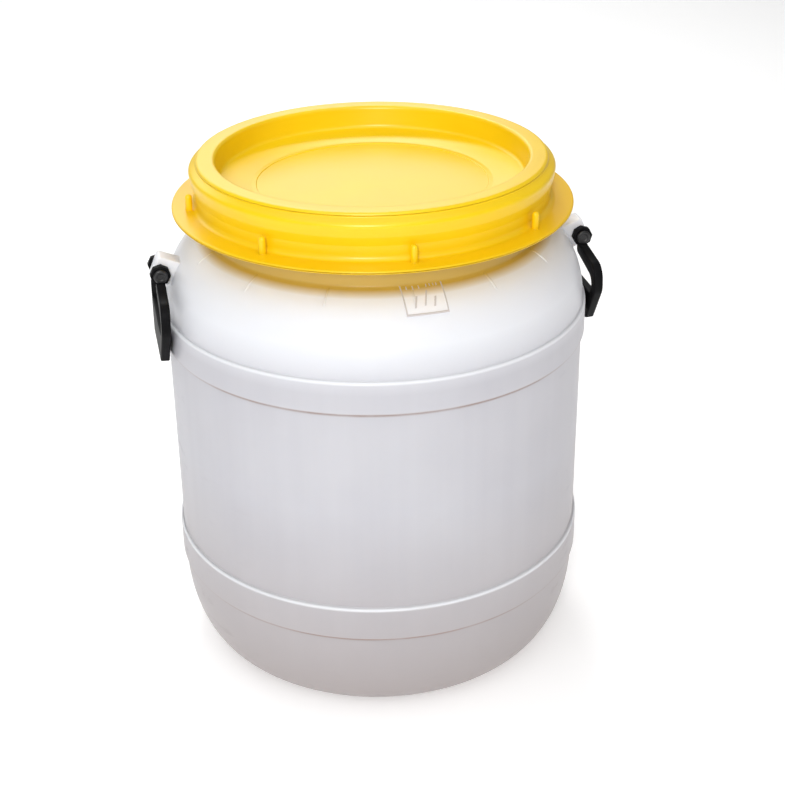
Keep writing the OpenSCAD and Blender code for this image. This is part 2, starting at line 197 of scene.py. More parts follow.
def spin_tree():
    """Geometry Nodes: turns an outline about Z into a closed skin, with gentle waves in its wall."""
    tree = bpy.data.node_groups.new("spin_outline", "GeometryNodeTree")
    face = tree.interface
    face.new_socket("Outline", in_out="INPUT", socket_type="NodeSocketGeometry")
    steps = face.new_socket("Steps round", in_out="INPUT", socket_type="NodeSocketInt")
    rows = face.new_socket("Rows", in_out="INPUT", socket_type="NodeSocketInt")
    wave = face.new_socket("Wave depth", in_out="INPUT", socket_type="NodeSocketFloat")
    size = face.new_socket("Waves a metre", in_out="INPUT", socket_type="NodeSocketFloat")
    finish = face.new_socket("Material", in_out="INPUT", socket_type="NodeSocketMaterial")
    face.new_socket("Skin", in_out="OUTPUT", socket_type="NodeSocketGeometry")
    make, join = tree.nodes.new, tree.links.new
    given, result = make("NodeGroupInput"), make("NodeGroupOutput")

    def maths(operation, a, b=None):
        node = make("ShaderNodeMath")
        node.operation = operation
        for socket, value in zip(node.inputs, (a, b)):
            if isinstance(value, bpy.types.NodeSocket):
                join(value, socket)
            elif value is not None:
                socket.default_value = value
        return node.outputs[0]

    grid = make("GeometryNodeMeshGrid")
    grid.inputs["Size X"].default_value = 1.0
    grid.inputs["Size Y"].default_value = 1.0
    join(maths("ADD", given.outputs["Steps round"], 1), grid.inputs["Vertices X"])
    join(given.outputs["Rows"], grid.inputs["Vertices Y"])
    index = make("GeometryNodeInputIndex").outputs[0]
    column = maths("FLOOR", maths("DIVIDE", maths("ADD", index, 0.5), given.outputs["Rows"]))
    row = maths("SUBTRACT", index, maths("MULTIPLY", column, given.outputs["Rows"]))
    place = make("GeometryNodeSampleIndex")
    place.data_type = "FLOAT_VECTOR"
    join(given.outputs["Outline"], place.inputs["Geometry"])
    join(make("GeometryNodeInputPosition").outputs[0], place.inputs["Value"])
    join(row, place.inputs["Index"])
    angle = maths("MULTIPLY", maths("DIVIDE", column, given.outputs["Steps round"]), 2 * math.pi)
    turn = make("ShaderNodeVectorRotate")
    turn.rotation_type = "Z_AXIS"
    join(place.outputs[0], turn.inputs["Vector"])
    join(angle, turn.inputs["Angle"])
    spun = make("GeometryNodeSetPosition")
    join(grid.outputs["Mesh"], spun.inputs["Geometry"])
    join(turn.outputs[0], spun.inputs["Position"])
    welded = make("GeometryNodeMergeByDistance")
    welded.inputs["Distance"].default_value = 0.00001
    join(spun.outputs[0], welded.inputs["Geometry"])
    noise = make("ShaderNodeTexNoise")
    noise.noise_dimensions = "3D"
    join(given.outputs["Waves a metre"], noise.inputs["Scale"])
    noise.inputs["Detail"].default_value = 1.0
    join(make("GeometryNodeInputPosition").outputs[0], noise.inputs["Vector"])
    flat = make("ShaderNodeVectorMath")
    flat.operation = "MULTIPLY"
    join(make("GeometryNodeInputNormal").outputs[0], flat.inputs[0])
    flat.inputs[1].default_value = (1.0, 1.0, 0.0)
    push = make("ShaderNodeVectorMath")
    push.operation = "SCALE"
    join(flat.outputs[0], push.inputs[0])
    join(maths("MULTIPLY", noise.outputs[0], maths("MULTIPLY", given.outputs["Wave depth"], -1.0)),
         push.inputs["Scale"])
    waved = make("GeometryNodeSetPosition")
    join(welded.outputs[0], waved.inputs["Geometry"])
    join(push.outputs[0], waved.inputs["Offset"])
    smooth = make("GeometryNodeSetShadeSmooth")
    join(waved.outputs[0], smooth.inputs["Geometry"])
    real = make("GeometryNodeRealizeInstances")
    join(smooth.outputs[0], real.inputs[0])
    coat = make("GeometryNodeSetMaterial")
    join(real.outputs[0], coat.inputs["Geometry"])
    join(given.outputs["Material"], coat.inputs["Material"])
    join(coat.outputs[0], result.inputs[0])
    return tree, {"steps": steps.identifier, "rows": rows.identifier, "wave": wave.identifier,
                  "size": size.identifier, "material": finish.identifier}


spin, spin_inputs = spin_tree()


def plain_mesh(source, name):
    """The evaluated object as a plain mesh object of its own, with the source removed."""
    view = bpy.context.evaluated_depsgraph_get()
    mesh = bpy.data.meshes.new_from_object(source.evaluated_get(view))
    mesh.name = name
    old = source.data
    bpy.data.objects.remove(source)
    if old.users == 0:
        bpy.data.batch_remove([old])
    made = bpy.data.objects.new(name, mesh)
    bpy.context.scene.collection.objects.link(made)
    return made


def face_out(mesh):
    """Welds doubles and turns every face outwards."""
    work = bmesh.new()
    work.from_mesh(mesh)
    bmesh.ops.remove_doubles(work, verts=work.verts, dist=0.00001)
    bmesh.ops.recalc_face_normals(work, faces=work.faces)
    work.to_mesh(mesh)
    work.free()


def spun_piece(name, points, material, steps=192, wave=0.0, waves_a_metre=6.0):
    source = outline_object(name + "_outline", points)
    modifier = source.modifiers.new("spin", "NODES")
    modifier.node_group = spin
    modifier[spin_inputs["steps"]] = steps
    modifier[spin_inputs["rows"]] = len(points)
    modifier[spin_inputs["wave"]] = wave
    modifier[spin_inputs["size"]] = waves_a_metre
    modifier[spin_inputs["material"]] = material
    made = plain_mesh(source, name)
    face_out(made.data)
    for face in made.data.polygons:
        face.use_smooth = True
    return made


class Shade:
    """A socket in a material, with the operators that its expressions use."""

    def __init__(self, material, socket):
        self.material, self.socket = material, socket

    def node(self, kind, settings=None, **inputs):
        """A new node: its settings first, then the values or links of its sockets."""
        made = self.material.node_tree.nodes.new(kind)
        for key, value in (settings or {}).items():
            if key == "stops":
                ramp = made.color_ramp
                while len(ramp.elements) < len(value):
                    ramp.elements.new(1.0)
                for element, (place, colour) in zip(ramp.elements, value):
                    element.position, element.color = place, (*colour, 1.0)
            else:
                setattr(made, key, value)
        for key, value in inputs.items():
            key = key.replace("_", " ") if not key.startswith("n") or not key[1:].isdigit() else int(key[1:])
            socket = made.inputs[key]
            if isinstance(value, Shade):
                self.material.node_tree.links.new(value.socket, socket)
            else:
                socket.default_value = value
        return made

    def out(self, kind, output, settings=None, **inputs):
        return Shade(self.material, self.node(kind, settings, **inputs).outputs[output])

    def maths(self, operation, a, b=0.0):
        return self.out("ShaderNodeMath", 0, {"operation": operation}, n0=a, n1=b)

    def __add__(self, other):
        return self.maths("ADD", self, other)

    def __radd__(self, other):
        return self.maths("ADD", other, self)

    def __sub__(self, other):
        return self.maths("SUBTRACT", self, other)

    def __rsub__(self, other):
        return self.maths("SUBTRACT", other, self)

    def __mul__(self, other):
        return self.maths("MULTIPLY", self, other)

    def __rmul__(self, other):
        return self.maths("MULTIPLY", other, self)

    def clamp(self, low, high):
        """0 below low, 1 above high, and straight between them."""
        return self.out("ShaderNodeMapRange", 0, {"clamp": True}, n0=self, n1=low, n2=high)

    def mix(self, first, second):
        """The colour first where this is 0 and second where it is 1."""
        return self.out("ShaderNodeMix", 2, {"data_type": "RGBA"}, n0=self, n6=first, n7=second)

    def noise(self, scale, detail=2.0):
        return self.out("ShaderNodeTexNoise", 0, {}, Vector=self, Scale=scale, Detail=detail)

    def specks(self, scale):
        """Distance to the nearest of many scattered points."""
        return self.out("ShaderNodeTexVoronoi", 0, {}, Vector=self, Scale=scale)

    def length(self):
        return self.out("ShaderNodeVectorMath", 1, {"operation": "LENGTH"}, n0=self)

    def part(self, axis):
        return self.out("ShaderNodeSeparateXYZ", axis, {}, Vector=self)

    def stretched(self, x, y, z):
        return self.out("ShaderNodeMapping", 0, {}, Vector=self, Scale=(x, y, z))


def new_material(name, **constants):
    """A Principled material with its constant sockets set, and its object coordinates."""
    material = bpy.data.materials.new(name)
    material.use_nodes = True
    shader = material.node_tree.nodes["Principled BSDF"]
    for key, value in constants.items():
        shader.inputs[key.replace("_", " ")].default_value = value
    start = Shade(material, None)
    place = start.out("ShaderNodeTexCoord", "Object")
    return material, shader, place


def feed(material, shader, **links):
    for key, value in links.items():
        material.node_tree.links.new(value.socket, shader.inputs[key.replace("_", " ")])


# Heights over which the painted top light on the shoulder fades in
painted_top_light_z = (335 * MM, 375 * MM)
# Heights over which the painted shade towards the foot comes in
painted_foot_shade_z = (220 * MM, 20 * MM)
# Heights of the painted golden shade at the foot of the neck
flange_shade_low_z = (408 * MM, 412.5 * MM)
flange_shade_high_z = (429 * MM, 425.5 * MM)


def white_polyethylene():
    """Painted light and shade on a white moulding: painted top light makes the shoulder lighter, and painted
    shade makes it greyer and warmer towards the foot.
    Each band has a painted shade line under it and a painted highlight on its top edge. The foot of the neck,
    under the lid's flange, has a painted golden shade for the flange's shadow and the yellow light through
    it."""
    material, shader, place = new_material(
        "white_polyethylene", Subsurface_Weight=0.25, Subsurface_Scale=0.012, IOR=1.5)
    shader.inputs["Subsurface Radius"].default_value = (1.0, 0.85, 0.75)
    cloud = place.noise(7.0, 3.0)
    streaks = place.stretched(60.0, 60.0, 1.2).noise(1.0, 3.0)
    tone = (cloud * 0.75 + streaks * 0.25).clamp(0.35, 0.65)
    wall = tone.mix((0.50, 0.495, 0.535, 1.0), (0.55, 0.545, 0.58, 1.0))
    height = place.part("Z")
    # Painted top light: the upper wall and shoulder are painted lighter, where the light from above falls on
    # them
    painted_top_light = height.clamp(*painted_top_light_z).mix(wall, (0.81, 0.82, 0.86, 1.0))
    # Painted shade: greyer and warmer towards the foot, where less light reaches
    painted_foot_shade = (height.clamp(*painted_foot_shade_z) * 0.85).mix(painted_top_light, (0.35, 0.305, 0.295, 1.0))
    painted_band_shade, painted_edge_highlight = 0.0, 0.0
    # Painted shade: a warm dark line just under each band's lower step, made uneven by the patchy noise
    for band_z, band_h in (lower_band, upper_band):
        under = height.maths("ABSOLUTE", height - (band_z - 1.4 * MM))
        over = height.maths("ABSOLUTE", height - (band_z + band_h - 1.0 * MM))
        painted_band_shade = under.clamp(2.4 * MM, 0.8 * MM) + painted_band_shade
        painted_edge_highlight = over.clamp(2.2 * MM, 0.4 * MM) + painted_edge_highlight
    patchy = place.noise(40.0, 3.0).clamp(0.25, 0.6)
    # Painted highlight: a lighter line along the rounded top edge of each band
    edged = (painted_edge_highlight * 0.8).mix(painted_foot_shade, (0.84, 0.85, 0.88, 1.0))
    lined = (painted_band_shade * (0.5 + patchy * 0.3)).mix(edged, (0.27, 0.17, 0.13, 1.0))
    # Painted shade: the lid flange's shadow, golden from the yellow light through it, on the foot of the neck
    painted_flange_shade = height.clamp(*flange_shade_low_z) * height.clamp(*flange_shade_high_z)
    base = painted_flange_shade.mix(lined, (0.55, 0.37, 0.07, 1.0))
    scuff = place.stretched(30.0, 30.0, 90.0).noise(1.0, 6.0).clamp(0.62, 0.72)
    specks = place.specks(22.0).clamp(0.055, 0.02)
    peel = place.noise(420.0, 2.0)
    ripple = place.stretched(9.0, 9.0, 3.0).noise(1.0, 2.0)
    bump = place.out("ShaderNodeBump", 0, {}, Strength=0.25, Distance=0.0006,
                     Height=peel * 0.10 + ripple * 0.8 + streaks * 0.10 + specks * 0.7)
    feed(material, shader, Base_Color=base, Roughness=0.33 + cloud * 0.12 + scuff * 0.2, Normal=bump)
    return material


white = white_polyethylene()
# Painted shade: the panel's raised lines are painted a flat grey for the shadows along them
panel_relief_shade, grey_shader, _ = new_material("rubbed_moulding", Roughness=0.5, IOR=1.5)
grey_shader.inputs["Base Color"].default_value = (0.56, 0.53, 0.54, 1.0)
drum = spun_piece("drum_shell", body_outline(), white, steps=192, wave=0.5 * MM)

# The rest of the shell's moulding: thread on the neck, lugs and shoulder ribs
thread_lead = 18 * MM
pivot_x = 195.6 * MM
pivot_z = 387 * MM
lug_w = 18 * MM
lug_lean = math.radians(23)
lug_root = 20 * MM
lug_reach = 6.3 * MM
lug_above = 14.6 * MM
lug_below = 9 * MM


def add_mesh(name, vertices, faces, material, smooth=True):
    mesh = bpy.data.meshes.new(name)
    mesh.from_pydata([tuple(v) for v in vertices], [], faces)
    mesh.materials.append(material)
    made = bpy.data.objects.new(name, mesh)
    bpy.context.scene.collection.objects.link(made)
    face_out(mesh)
    for face in mesh.polygons:
        face.use_smooth = smooth
    return made


def thread_ridge(name, foot_r, out, foot_h, crest_h, z0, a0, turn, material):
    """A ridge that climbs one lead a turn. A negative out turns it inwards, and both ends taper."""
    rings = int(turn / 2.5)
    vertices, faces = [], []
    for i in range(rings + 1):
        grow = min(1.0, (i + 0.3) / 8, (rings - i + 0.3) / 8)
        a = math.radians(a0 + 2.5 * i)
        z = z0 + thread_lead * 2.5 * i / 360
        root = foot_r - math.copysign(0.6 * MM, out)
        tip = foot_r + out * grow
        section = [(root, -0.54 * foot_h), (tip - 0.12 * out, -0.56 * crest_h), (tip, -0.38 * crest_h),
                   (tip, 0.38 * crest_h), (tip - 0.12 * out, 0.56 * crest_h), (root, 0.54 * foot_h)]
        vertices += [(r * math.cos(a), r * math.sin(a), z + h) for r, h in section]
    n = 6
    for i in range(rings):
        faces += [(i * n + k, (i + 1) * n + k, (i + 1) * n + (k + 1) % n, i * n + (k + 1) % n)
                  for k in range(n)]
    faces += [tuple(range(n)), tuple(range(rings * n, rings * n + n))[::-1]]
    return add_mesh(name, vertices, faces, material)


lid_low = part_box("screw_lid")[0].z
neck_ridge_z = lid_low + 14 * MM
neck_ridges = [thread_ridge(f"neck_thread_{k}", neck_r, 3 * MM, 4.4 * MM, 2.42 * MM,
                            neck_ridge_z, 180 * k, 200, white) for k in range(2)]


def soft_block(name, outline, width, material, edge, segments=3):
    """An outline in the XZ plane, given width along Y, with every long edge rounded."""
    work = bmesh.new()
    low = [work.verts.new((p.x, -width / 2, p.y)) for p in outline]
    high = [work.verts.new((p.x, width / 2, p.y)) for p in outline]
    n = len(outline)
    work.faces.new(low)
    work.faces.new(high[::-1])
    for i in range(n):
        work.faces.new((low[i], low[(i + 1) % n], high[(i + 1) % n], high[i]))
    bmesh.ops.recalc_face_normals(work, faces=work.faces)
    work.edges.ensure_lookup_table()
    rims = [e for e in work.edges if abs(e.verts[0].co.y - e.verts[1].co.y) < 1e-9]
    bmesh.ops.bevel(work, geom=rims, offset=edge, segments=segments, profile=0.6, affect="EDGES",
                    clamp_overlap=True)
    mesh = bpy.data.meshes.new(name)
    work.to_mesh(mesh)
    work.free()
    mesh.materials.append(material)
    made = bpy.data.objects.new(name, mesh)
    bpy.context.scene.collection.objects.link(made)
    for face in mesh.polygons:
        face.use_smooth = True
    return made


def put(piece, matrix):
    """Puts a piece's place into its mesh."""
    piece.data.transform(matrix)
    if matrix.determinant() < 0:
        piece.data.flip_normals()
    return piece


def ring_tree():
    """Geometry Nodes: copies of a piece turned about Z in equal steps."""
    tree = bpy.data.node_groups.new("ring_of_copies", "GeometryNodeTree")
    face = tree.interface
    face.new_socket("Piece", in_out="INPUT", socket_type="NodeSocketGeometry")
    count = face.new_socket("Count", in_out="INPUT", socket_type="NodeSocketInt")
    first = face.new_socket("First angle", in_out="INPUT", socket_type="NodeSocketFloat")
    finish = face.new_socket("Material", in_out="INPUT", socket_type="NodeSocketMaterial")
    face.new_socket("Ring", in_out="OUTPUT", socket_type="NodeSocketGeometry")
    make, join = tree.nodes.new, tree.links.new
    given, result = make("NodeGroupInput"), make("NodeGroupOutput")
    places = make("GeometryNodeMeshLine")
    join(given.outputs["Count"], places.inputs["Count"])
    places.inputs["Offset"].default_value = (0.0, 0.0, 0.0)
    share = make("ShaderNodeMath")
    share.operation = "DIVIDE"
    join(make("GeometryNodeInputIndex").outputs[0], share.inputs[0])
    join(given.outputs["Count"], share.inputs[1])
    angle = make("ShaderNodeMath")
    angle.operation = "MULTIPLY_ADD"
    join(share.outputs[0], angle.inputs[0])
    angle.inputs[1].default_value = 2 * math.pi
    join(given.outputs["First angle"], angle.inputs[2])
    turn = make("ShaderNodeCombineXYZ")
    join(angle.outputs[0], turn.inputs["Z"])
    copies = make("GeometryNodeInstanceOnPoints")
    join(places.outputs[0], copies.inputs["Points"])
    join(given.outputs["Piece"], copies.inputs["Instance"])
    join(turn.outputs[0], copies.inputs["Rotation"])
    real = make("GeometryNodeRealizeInstances")
    join(copies.outputs[0], real.inputs[0])
    coat = make("GeometryNodeSetMaterial")
    join(real.outputs[0], coat.inputs["Geometry"])
    join(given.outputs["Material"], coat.inputs["Material"])
    join(coat.outputs[0], result.inputs[0])
    return tree, {"count": count.identifier, "first": first.identifier, "material": finish.identifier}


ring, ring_inputs = ring_tree()


def ringed(piece, name, count, material, first=0.0):
    modifier = piece.modifiers.new("ring", "NODES")
    modifier.node_group = ring
    modifier[ring_inputs["count"]] = count
    modifier[ring_inputs["first"]] = first
    modifier[ring_inputs["material"]] = material
    return plain_mesh(piece, name)


def cut(piece, tools):
    """Cuts solids out of a piece with a boolean, and keeps the result as a plain mesh."""
    name = piece.name
    for tool in tools:
        modifier = piece.modifiers.new("cut", "BOOLEAN")
        modifier.operation = "DIFFERENCE"
        modifier.solver = "EXACT"
        modifier.object = tool
    piece.name = name + "_uncut"
    made = plain_mesh(piece, name)
    for tool in tools:
        bpy.data.objects.remove(tool)
    for face in made.data.polygons:
        face.use_smooth = True
    return made


def rod(name, r, length, centre, axis="Y", sides=64):
    """A plain cylinder, used as a cutting tool."""
    work = bmesh.new()
    turn = Matrix.Rotation(math.pi / 2, 4, "X") if axis == "Y" else Matrix.Identity(4)
    bmesh.ops.create_cone(work, cap_ends=True, segments=sides, radius1=r, radius2=r, depth=length,
                          matrix=Matrix.Translation(centre) @ turn)
    mesh = bpy.data.meshes.new(name)
    work.to_mesh(mesh)
    work.free()
    made = bpy.data.objects.new(name, mesh)
    bpy.context.scene.collection.objects.link(made)
    return made


lug_outline = rounded([(-lug_root, -lug_below, 0), (lug_reach, -lug_below, 3 * MM),
                       (lug_reach, lug_above, 2 * MM), (-lug_root, lug_above, 0)], 4)
lugs = []
for side, name in ((-1, "left"), (1, "right")):
    lean = Matrix.Rotation(-lug_lean, 4, "Y")
    turn = Matrix.Rotation(0 if side > 0 else math.pi, 4, "Z")
    lug = soft_block("lug_" + name, lug_outline, lug_w, white, 1.5 * MM)
    lugs.append(put(lug, Matrix.Translation((side * pivot_x, 0, pivot_z)) @ turn @ lean))

shoulder_line = [p for p in side_outline(0) if p.y > upper_band_top + 3 * MM]
raised_from = 0.5 * MM


def on_shoulder(r):
    """Height of the shoulder's surface at a radius, and its outward slope there."""
    for p, q in zip(shoulder_line, shoulder_line[1:]):
        if q.x <= r <= p.x:
            k = (p.x - r) / max(p.x - q.x, 1e-9)
            along = (q - p).normalized()
            return p.y + (q.y - p.y) * k, Vector((along.y, -along.x))
    return shoulder_top, Vector((0.0, 1.0))


def shoulder_patch(name, width, r_out, r_in, height, materials, across=8, along=24):
    """A patch that follows the shoulder at angle 0. height(u, v) runs over 0..1 both ways.
    Raised faces take the last of the materials."""
    vertices, faces = [], []
    for j in range(along + 1):
        r = r_out + (r_in - r_out) * j / along
        z, out = on_shoulder(r)
        for i in range(across + 1):
            rise = height(i / across, j / along)
            rr, zz = r + out.x * rise, z + out.y * rise
            a = (i / across - 0.5) * width / r
            vertices.append((rr * math.cos(a), rr * math.sin(a), zz))
    n = across + 1
    for j in range(along):
        faces += [(j * n + i, j * n + i + 1, (j + 1) * n + i + 1, (j + 1) * n + i) for i in range(across)]
    mesh = bpy.data.meshes.new(name)
    mesh.from_pydata(vertices, [], faces)
    for material in materials:
        mesh.materials.append(material)
    made = bpy.data.objects.new(name, mesh)
    bpy.context.scene.collection.objects.link(made)
    for k, face in enumerate(mesh.polygons):
        face.use_smooth = True
        rise = height((k % across + 0.5) / across, (k // across + 0.5) / along)
        face.material_index = len(materials) - 1 if rise > raised_from else 0
    return made


def rib_height(u, v):
    """A round-backed rib, sunk at its edges, that fades out at both ends."""
    end = min(1.0, 6 * v) * min(1.0, 6 * (1.0 - v) + 0.3)
    return -patch_sunk + rib_h * math.sin(math.pi * u) ** 0.6 * end


patch_sunk = 0.9 * MM
rib_h = 1.6 * MM
rib_w = 3.2 * MM
rib_count = 14
one_rib = shoulder_patch("one_rib", rib_w, wall_r - 21 * MM, neck_r - 0.5 * MM, rib_height, [white])
ribs = ringed(one_rib, "shoulder_ribs", rib_count, white, math.pi / rib_count)

panel_w = 37 * MM
panel_angle = math.radians(-87)
half_across, half_along = 18.5, 13.5        # of the panel, in millimetres
frame_edge = 0.35
frame_w = 1.7
panel_h = 0.85
line_h = 0.75
field_h = 0.1
ticks = ((0.16, 0.10, 0.22), (0.30, 0.10, 0.26), (0.44, 0.10, 0.22), (0.62, 0.08, 0.2),
         (0.70, 0.08, 0.2), (0.78, 0.08, 0.2), (0.86, 0.08, 0.2))
slants = ((0.30, 0.2, 0.52), (0.52, 0.24, 0.68), (0.74, 0.2, 0.46))


def panel_height(u, v):
    """A plain raised frame, with upright ticks along its top and three slanting lines. Each of
    them is its place across the panel and the two ends of its stretch, as shares."""
    x, y = abs(u - 0.5) * 2, abs(v - 0.5) * 2
    edge = min((1.0 - x) * half_across, (1.0 - y) * half_along)
    if edge < frame_edge:
        return -patch_sunk
    rise = panel_h if edge < frame_w else field_h
    for at, low, high in ticks:
        if abs(u - at) < 0.014 and low < 1 - v < high:
            rise = panel_h
    for at, low, high in slants:
        if abs(u - at - 0.25 * (v - 0.4)) < 0.02 and low < v < high:
            rise = line_h
    return rise * MM


# The raised lines take the grey with the painted shade
panel = shoulder_patch("shoulder_panel", panel_w, wall_r - 16 * MM, neck_r - 2 * MM, panel_height,
                       [white, panel_relief_shade], 96, 72)
put(panel, Matrix.Rotation(panel_angle, 4, "Z"))

for piece in [drum, *neck_ridges, *lugs, ribs, panel]:
    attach(piece, "drum")
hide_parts("drum_body")

# ---------------------------------------------------------------------------
# Screw lid: injection-moulded yellow polyethylene, with a flange that is
# gripped, eight pins against the skirt, a raised rim and a sunk centre.
# ---------------------------------------------------------------------------
flange_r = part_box("screw_lid")[1].x
lid_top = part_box("screw_lid")[1].z
lid_t = 3.2 * MM
thread_room = 4 * MM
channel_step = 2 * MM
bead_out = 5 * MM
bead_slope = 4.4 * MM
bead_h = 14 * MM
rim_w = 17 * MM
rim_draft = 2.6 * MM
rim_t = 3.7 * MM
rim_depth = 20.4 * MM
dish_fall = 5.7 * MM
disc_step = 0.8 * MM
disc_r = 104 * MM
flange_t = 3 * MM
pin_w = 6.4 * MM
pin_h = 15.5 * MM
pin_off = 6.4 * MM

# Radii from the neck outwards, then heights from the top down
skirt_in = neck_r + thread_room
skirt_r = skirt_in + lid_t
bead_r = skirt_r + bead_out
channel_r = skirt_in - channel_step
rim_r = channel_r + lid_t
rim_in = rim_r - rim_w
rim_foot = rim_in - rim_draft
rim_under = lid_top - rim_t
floor_z = lid_top - rim_depth
dish_z = floor_z - dish_fall
disc_z = dish_z - disc_step
bead_top = rim_under - bead_slope
bead_bottom = bead_top - bead_h
flange_top = lid_low + flange_t


def lid_outline():
    corners = [
        (0, disc_z, 0), (disc_r - 0.5 * MM, disc_z, 0.25 * MM), (disc_r, dish_z, 0.4 * MM),
        (disc_r + 4 * MM, dish_z, 5 * MM), (rim_foot, floor_z, 3.5 * MM), (rim_in, lid_top, 3.2 * MM),
        (rim_r, lid_top, 2.4 * MM), (rim_r, bead_top + bead_slope, 1 * MM), (bead_r, bead_top, 4.5 * MM),
        (bead_r - 2 * MM, bead_bottom + 3 * MM, 6 * MM),
        (skirt_r + 0.6 * MM, bead_bottom - 5 * MM, 7 * MM),
        (skirt_r, flange_top + 0.6 * MM, 4.5 * MM),
        (flange_r, flange_top, 1.3 * MM), (flange_r, lid_low, 0.9 * MM), (skirt_in, lid_low, 0.6 * MM),
        (skirt_in, neck_top - 2 * MM, 0.6 * MM), (channel_r, neck_top - 1 * MM, 0.6 * MM),
        (channel_r, rim_under, 0.6 * MM), (rim_in + lid_t, rim_under, 1 * MM),
        (rim_foot + lid_t, floor_z - lid_t, 3 * MM), (disc_r + 3 * MM, disc_z - lid_t, 6 * MM),
        (0, disc_z - lid_t, 0)]
    return resampled(rounded(corners, 5, 0.8 * MM), 9 * MM)


def yellow_polyethylene():
    """Lets a little light through, and more of it where the flange is thin."""
    material, shader, place = new_material("yellow_polyethylene", IOR=1.5)
    cloud = place.noise(9.0, 3.0)
    flow = place.stretched(14.0, 14.0, 40.0).noise(1.0, 3.0)
    tone = (cloud * 0.6 + flow * 0.4).clamp(0.38, 0.62)
    base = tone.mix((0.94, 0.62, 0.002, 1.0), (0.98, 0.67, 0.004, 1.0))
    grain = place.noise(900.0, 2.0)
    scratch = place.stretched(25.0, 220.0, 220.0).noise(1.0, 4.0).clamp(0.62, 0.7)
    bump = place.out("ShaderNodeBump", 0, {}, Strength=0.15, Distance=0.0003,
                     Height=grain * 0.25 + cloud - scratch * 0.04)
    feed(material, shader, Base_Color=base, Roughness=0.27 + cloud * 0.10 + scratch * 0.03, Normal=bump)
    through = place.node("ShaderNodeBsdfTranslucent", {}, Color=(1.0, 0.76, 0.10, 1.0))
    thin = place.stretched(1.0, 1.0, 0.0).length().clamp(skirt_r + 1 * MM, skirt_r + 4 * MM)
    thin = thin * place.part("Z").clamp(flange_top + 3 * MM, flange_top + 1 * MM)
    both = place.node("ShaderNodeMixShader", {}, n0=0.08 + thin * 0.14)
    nodes, join = material.node_tree.nodes, material.node_tree.links.new
    join(shader.outputs[0], both.inputs[1])
    join(through.outputs[0], both.inputs[2])
    join(both.outputs[0], nodes["Material Output"].inputs["Surface"])
    return material


yellow = yellow_polyethylene()
lid = spun_piece("lid_shell", lid_outline(), yellow, steps=192)
lid_ridges = [thread_ridge(f"lid_thread_{k}", skirt_in, -3.3 * MM, 4 * MM, 2.2 * MM,
                           neck_ridge_z - 3.7 * MM - thread_lead * 200 / 720, 180 * k - 100, 200, yellow)
              for k in range(2)]

pin_axis = skirt_r + pin_off
pin_profile = rounded([(0, flange_top - 1 * MM, 0), (pin_w / 2 + 0.5 * MM, flange_top - 1 * MM, 0),
                       (pin_w / 2, flange_top + 0.9 * MM, 0.6 * MM),
                       (pin_w / 2 - 0.1 * MM, flange_top + pin_h, 3 * MM),
                       (0, flange_top + pin_h, 0)], 6, 0.4 * MM)
one_pin = spun_piece("one_grip_pin", pin_profile, yellow, steps=28)
put(one_pin, Matrix.Translation((pin_axis, 0, 0)))
grip_pins = ringed(one_pin, "grip_pins", 8, yellow)

for piece in [lid, *lid_ridges, grip_pins]:
    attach(piece, "lid")
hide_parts("screw_lid")

# ---------------------------------------------------------------------------
# Lid gasket: a flat ring of light grey foam rubber, held in the rim channel,
# which the neck's lip presses when the lid is screwed down.
# ---------------------------------------------------------------------------


def foam_rubber():
    material, shader, place = new_material("foam_rubber", IOR=1.45)
    pores = place.noise(700.0, 3.0)
    base = pores.clamp(0.3, 0.7).mix((0.45, 0.45, 0.43, 1.0), (0.60, 0.60, 0.57, 1.0))
    bump = place.out("ShaderNodeBump", 0, {}, Strength=0.4, Distance=0.0004, Height=pores)
    feed(material, shader, Base_Color=base, Roughness=0.75 + pores * 0.15, Normal=bump)
    return material


gasket_low, gasket_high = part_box("lid_gasket")
gasket_in = rim_in + lid_t + 1 * MM
gasket_outline = rounded([(gasket_in, gasket_low.z, 1 * MM), (gasket_high.x, gasket_low.z, 0.6 * MM),
                          (gasket_high.x, gasket_high.z, 0.6 * MM), (gasket_in, gasket_high.z, 1 * MM)],
                         4, 0.5 * MM)
gasket = spun_piece("gasket_ring", gasket_outline + [gasket_outline[0]], foam_rubber(), steps=160)
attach(gasket, "gasket")
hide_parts("lid_gasket")

# ---------------------------------------------------------------------------
# Handles: two swing handles of black polypropylene, one moulding each. Two eyes
# stand on either side of the lug, and the side arms run down to a flat grip.
# ---------------------------------------------------------------------------
eye_in = lug_w / 2 + 0.4 * MM
eye_w = 7 * MM
eye_out = eye_in + eye_w
eye_flat = 8.6 * MM
bore_r = 4.05 * MM
head_r = 6.4 * MM
arm_top = head_r + 0.5 * MM
arm_h = 9.5 * MM
arm_w = 7.5 * MM
handle_t = 8.2 * MM
handle_lean = math.radians(2.5)
half_w = 61.5 * MM
shoulder_d = 13 * MM
belly_d = 36 * MM
foot_half = 35 * MM
drop = 74.5 * MM
grip_h = 30 * MM
grip_gap = 0.6 * MM


def handle_outline():
    """Half of the loop from the eye round the outside to the foot, its mirror image, then the inside."""
    outside = [(eye_in, -3 * MM, 0), (eye_out, -3 * MM, 0), (eye_out, arm_top, 0),
               (half_w, shoulder_d, 14 * MM), (half_w, belly_d, 20 * MM), (foot_half, drop, 4 * MM)]
    inside = [(foot_half + 11 * MM, drop - grip_h, 7 * MM), (half_w - arm_w, shoulder_d + 14 * MM, 8 * MM),
              (eye_in, arm_top + arm_h, 4 * MM)]
    loop = outside + [(-x, y, r) for x, y, r in outside[::-1]]
    loop += [(-x, y, r) for x, y, r in inside[::-1]] + inside
    return [Vector((p.x, -p.y)) for p in rounded(loop, 8, 100.0)]


